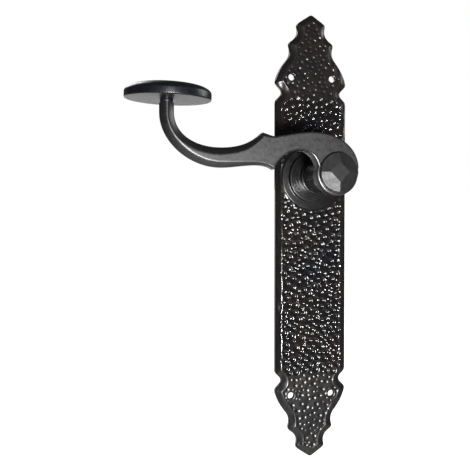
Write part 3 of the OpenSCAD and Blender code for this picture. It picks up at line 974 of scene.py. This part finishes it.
def make_head():
    """A round rim with a low square pyramid cut off at its top."""
    radius, back, front = extent("head_cap")
    rim, slope = front - FACET_RISE, math.radians(FACET_SLOPE)
    mesh = rod(radius, ARM_FRONT, front, sides=180)
    work = bmesh.new()
    work.from_mesh(mesh)
    bmesh.ops.dissolve_limit(work, angle_limit=0.01, verts=work.verts, edges=work.edges)
    for i in range(4):
        way = math.radians(45 + 90 * i)
        x, z = math.cos(way), math.sin(way)
        cut = bmesh.ops.bisect_plane(
            work, geom=work.verts[:] + work.edges[:] + work.faces[:],
            plane_co=(x * radius * MM, -rim * MM, z * radius * MM),
            plane_no=(x * math.sin(slope), -math.cos(slope), z * math.sin(slope)), clear_outer=True)
        border = [e for e in cut["geom_cut"] if isinstance(e, bmesh.types.BMEdge)]
        bmesh.ops.edgeloop_fill(work, edges=border)
    work.to_mesh(mesh)
    work.free()
    outwards(mesh)
    mesh = combined(mesh, [rod(4.0, back, ARM_FRONT + 0.5)], "UNION")
    mesh.transform(AT_HEAD)
    mesh.name = "head_faceted"
    head = finished("head_faceted", mesh, LEVER_BODY, "lever_paint",
                    satin_paint("head_satin", (0.0068, 0.0064, 0.0066), 0.44, 0.6, 0.06), "head_cap",
                    crease=8)
    bevel(head, 0.22, 8)


def bevel(item, width, angle=30):
    """Rounds the edges that are sharper than an angle in degrees."""
    step = item.modifiers.new("rounded_edges", "BEVEL")
    step.width, step.segments, step.limit_method = width * MM, 2, "ANGLE"
    step.angle_limit = math.radians(angle)
    step.harden_normals = False


def make_disc():
    """The thumb disc, flat below and domed above, and the stud that carries it."""
    radius, rim, thick, power = 25.4, 3.6, 8.9, 3.8
    turn = np.radians(np.linspace(0, 90, 40))
    crown = np.column_stack([radius * np.cos(turn) ** (2 / power), rim + (thick - rim) * np.sin(turn)])
    crown[-1, 0] = 0
    corners = [(0, 0, 0), (radius, 0, 0.8), (*crown[0], 0), (0, thick, 0)]
    section = np.vstack([rounded(corners, 7)[:-2], crown])
    mesh = moved(lathe("disc", section, 192),
                 AT_TIP @ Matrix.Translation((DISC_OFFSET * MM, -STUD_NECK * MM, 0)))
    mesh = combined(mesh, [rod(3.05, -1, STUD_NECK + 4.8, AT_TIP)], "DIFFERENCE")
    mesh.name = "thumb_disc_turned"
    finished("thumb_disc_turned", mesh, LEVER_BODY, "disc_paint",
             satin_paint("disc_satin", (0.0035, 0.0038, 0.0058), 0.33, 0.6, 0.010), "thumb_disc")
    shank, collar, end, low, top = 2.5, 3.8, 3, -8, 6.0
    corners = [(0, low, 0), (shank, low, 0.4), (shank, 0, 0), (collar, 0, 0.2),
               (collar, STUD_NECK, 0.2), (end, STUD_NECK, 0), (end, top, 0.4), (0, top, 0)]
    mesh = moved(lathe("disc_stud_turned", rounded(corners), 96), AT_TIP)
    finished("disc_stud_turned", mesh, LEVER_BODY, "lever_paint",
             satin_paint("stud_satin", (0.005, 0.005, 0.006), 0.4), "disc_stud")


# ---- the working pieces, which keep their CAD shapes ----

def dress(finish, edge, *nodes):
    """Gives CAD nodes their material and, where edge isn't 0, small rounded edges."""
    for node in nodes:
        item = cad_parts[node]
        item.data.materials.clear()
        item.data.materials.append(finish)
        if edge:
            weld = item.modifiers.new("weld", "WELD")
            weld.merge_threshold = 1e-6
            bevel(item, edge)


def dress_working_pieces():
    """Plated, drawn, sprung and blackened steel, brass and nylon for the pieces inside."""
    zinc = metal("zinc_plate", (0.60, 0.60, 0.62), (0.46, 0.47, 0.50), 0.34, 0.3)
    drawn = metal("drawn_steel", (0.55, 0.54, 0.53), (0.42, 0.41, 0.41), 0.32, 0.3, (1, 0.06, 1))
    spring = metal("spring_steel", (0.42, 0.42, 0.44), (0.30, 0.30, 0.33), 0.28, 0.2)
    brass = metal("bush_brass", (0.78, 0.56, 0.25), (0.62, 0.42, 0.17), 0.3, 0.25)
    black = metal("black_oxide", (0.055, 0.055, 0.060), (0.030, 0.030, 0.034), 0.42, 0.2)
    dress(zinc, 0.12, "rosette_locknut", "spring_cover", "cover_screws", "spring_driver")
    dress(zinc, 0, "rosette_dowels", "stop_pins")
    dress(drawn, 0.35, "spindle")
    dress(spring, 0, "return_spring", "spring_washer")
    dress(brass, 0.12, "bearing_bush")
    dress(black, 0.08, "grub_screw", "retaining_ring")
    dress(nylon(), 0.1, "thrust_washer")


# ---- the scene ----

bpy.context.scene.view_settings.view_transform = "Standard"
add_camera()
add_world(seen=1.0, lighting=0.06)
add_sheet("floor", FLOOR_SIZE, (0, 0, FLOOR_Z), 0, stage_paper("floor_paper", 0.93, 0.05))
# The backdrop ends level with the handle; above it the camera sees the air, as bright.
add_sheet("backdrop", BACKDROP_SIZE, (0.1, BACKDROP_Y, 0.05 - BACKDROP_SIZE / 2), math.radians(90),
          stage_paper("backdrop_paper", 1.0, 0.5))
add_lamp("key", (-0.077, -0.973, -0.214), 0.95, 0.16, 17)
add_lamp("back", (-0.3, 0.75, 0.6), 1.2, 0.6, 5)
add_lamp("right", (0.95, 0.05, 0.3), 1.2, 0.6, 4)

make_backplate()
make_rosette()
make_lever()
make_head()
make_disc()
dress_working_pieces()
